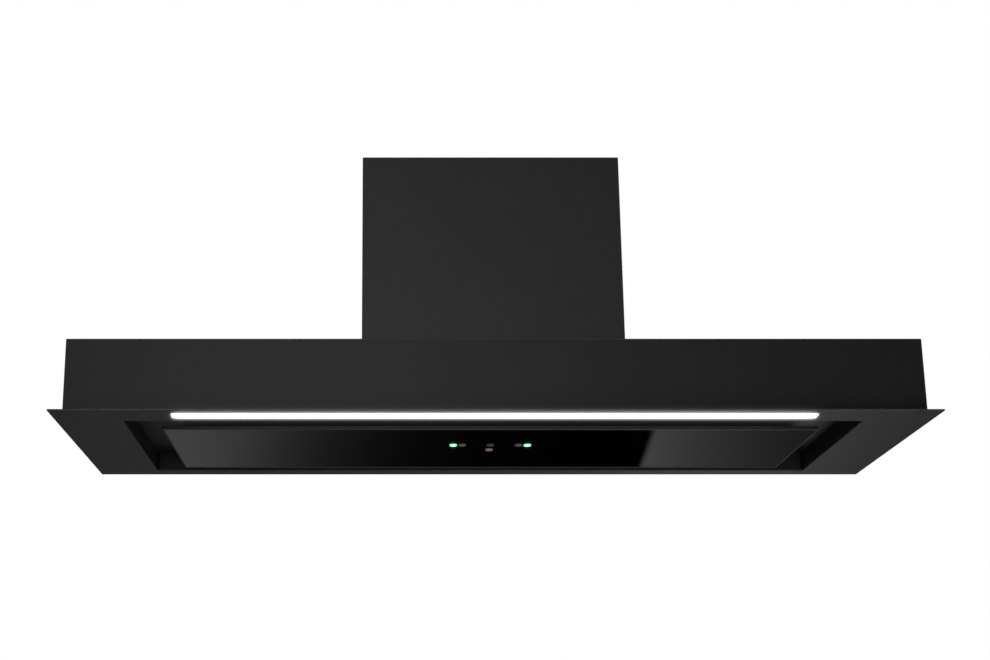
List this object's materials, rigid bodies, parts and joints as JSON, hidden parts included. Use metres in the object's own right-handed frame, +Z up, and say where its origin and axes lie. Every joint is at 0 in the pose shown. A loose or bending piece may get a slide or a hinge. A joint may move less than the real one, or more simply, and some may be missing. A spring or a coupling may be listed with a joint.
{
  "type": "built-in range hood",
  "caption": "Low black steel hood with a wide flange, a central motor housing, a light bar and a hinged black glass panel over grease filters; air leaves by a round spigot with flaps.",
  "frame": {"origin": "centre of the flange plate's lower face, which is the hood's lowest face", "axes": "+X to the right along the flange, +Y to the back, +Z up along the duct spigot"},
  "size_m": [0.9, 0.3, 0.3105],
  "materials": {
    "powder_black": "fine-textured matt black powder coat on steel",
    "black_glass": "polished, opaque black",
    "lit_opal": "opal, lit evenly from behind",
    "lit_green": "clear window lit green",
    "dark_window": "smoked, smooth",
    "filter_metal": "black anodised, satin",
    "galvanised": "galvanised sheet steel",
    "zinc_steel": "bright zinc plated",
    "cast_aluminium": "satin",
    "black_plastic": "fine matt moulded black",
    "pale_plastic": "smooth moulded",
    "circuit_board": "green solder mask",
    "rubber": "matt"
  },
  "bodies": {
    "hood": {"bottom_frame": "powder_black", "frame_nuts": "zinc_steel", "body_shell": "powder_black", "filter_deck": "powder_black", "deck_screws": "zinc_steel", "housing_wrap": "powder_black", "housing_back": "powder_black", "housing_top": "galvanised", "casing_screws": "zinc_steel", "outlet_collar": "black_plastic", "outlet_gasket": "rubber", "flap_pin": "zinc_steel", "fan_scroll_left": "black_plastic", "fan_scroll_right": "black_plastic", "scroll_screws": "zinc_steel", "inlet_guard": "zinc_steel", "fan_motor": "cast_aluminium", "motor_bracket": "galvanised", "motor_bushes": "rubber", "run_capacitor": "pale_plastic", "capacitor_clip": "zinc_steel", "control_box": "black_plastic", "control_box_lid": "black_plastic", "control_board": "circuit_board", "cable_gland": "black_plastic", "cable_grommets": "rubber", "motor_lead": "rubber", "led_driver": "pale_plastic", "led_diffuser": "lit_opal", "led_profile": "cast_aluminium", "led_board": "circuit_board", "led_end_caps": "pale_plastic", "led_clips": "zinc_steel", "hinge_brackets": "powder_black", "hinge_pins": "zinc_steel", "magnet_catches": "black_plastic", "filter_frame_left": "filter_metal", "filter_frame_right": "filter_metal", "filter_mesh_left": "filter_metal", "filter_mesh_right": "filter_metal", "latch_spring_left": "zinc_steel", "latch_spring_right": "zinc_steel"},
    "glass_door": {"glass_panel": "black_glass", "sensor_windows": "dark_window", "status_lights": "lit_green", "sensor_cover": "black_plastic", "sensor_board": "circuit_board", "bond_tape": "rubber", "panel_tray": "powder_black", "hinge_leaves": "powder_black", "striker_plates": "zinc_steel"},
    "fan_rotor": {"impeller": "galvanised", "impeller_nut": "zinc_steel", "motor_shaft": "zinc_steel"},
    "flap_front": {"flap_front": "black_plastic"},
    "flap_rear": {"flap_rear": "black_plastic"},
    "filter_latch_left": {"filter_latch_left": "black_plastic"},
    "filter_latch_right": {"filter_latch_right": "black_plastic"}
  },
  "joints": [
    {"name": "door_hinge", "type": "hinge", "parent": "hood", "child": "glass_door", "pos_m": [0, 0.1035, 0.01], "axis": [1, 0, 0], "range_deg": [0, 85]},
    {"name": "fan_spin", "type": "hinge", "parent": "hood", "child": "fan_rotor", "pos_m": [0, -0.016, 0.185], "axis": [1, 0, 0], "continuous": true},
    {"name": "front_flap_hinge", "type": "hinge", "parent": "hood", "child": "flap_front", "pos_m": [0, 0.02, 0.286], "axis": [-1, 0, 0], "range_deg": [0, 75]},
    {"name": "rear_flap_hinge", "type": "hinge", "parent": "hood", "child": "flap_rear", "pos_m": [0, 0.02, 0.286], "axis": [1, 0, 0], "range_deg": [0, 75]},
    {"name": "latch_slide_left", "type": "slide", "parent": "hood", "child": "filter_latch_left", "axis": [0, 1, 0], "range_m": [0, 0.004], "stiffness_N_per_m": 400, "springref_m": -0.008, "deforming": ["latch_spring_left"]},
    {"name": "latch_slide_right", "type": "slide", "parent": "hood", "child": "filter_latch_right", "axis": [0, 1, 0], "range_m": [0, 0.004], "stiffness_N_per_m": 400, "springref_m": -0.008, "deforming": ["latch_spring_right"]}
  ]
}
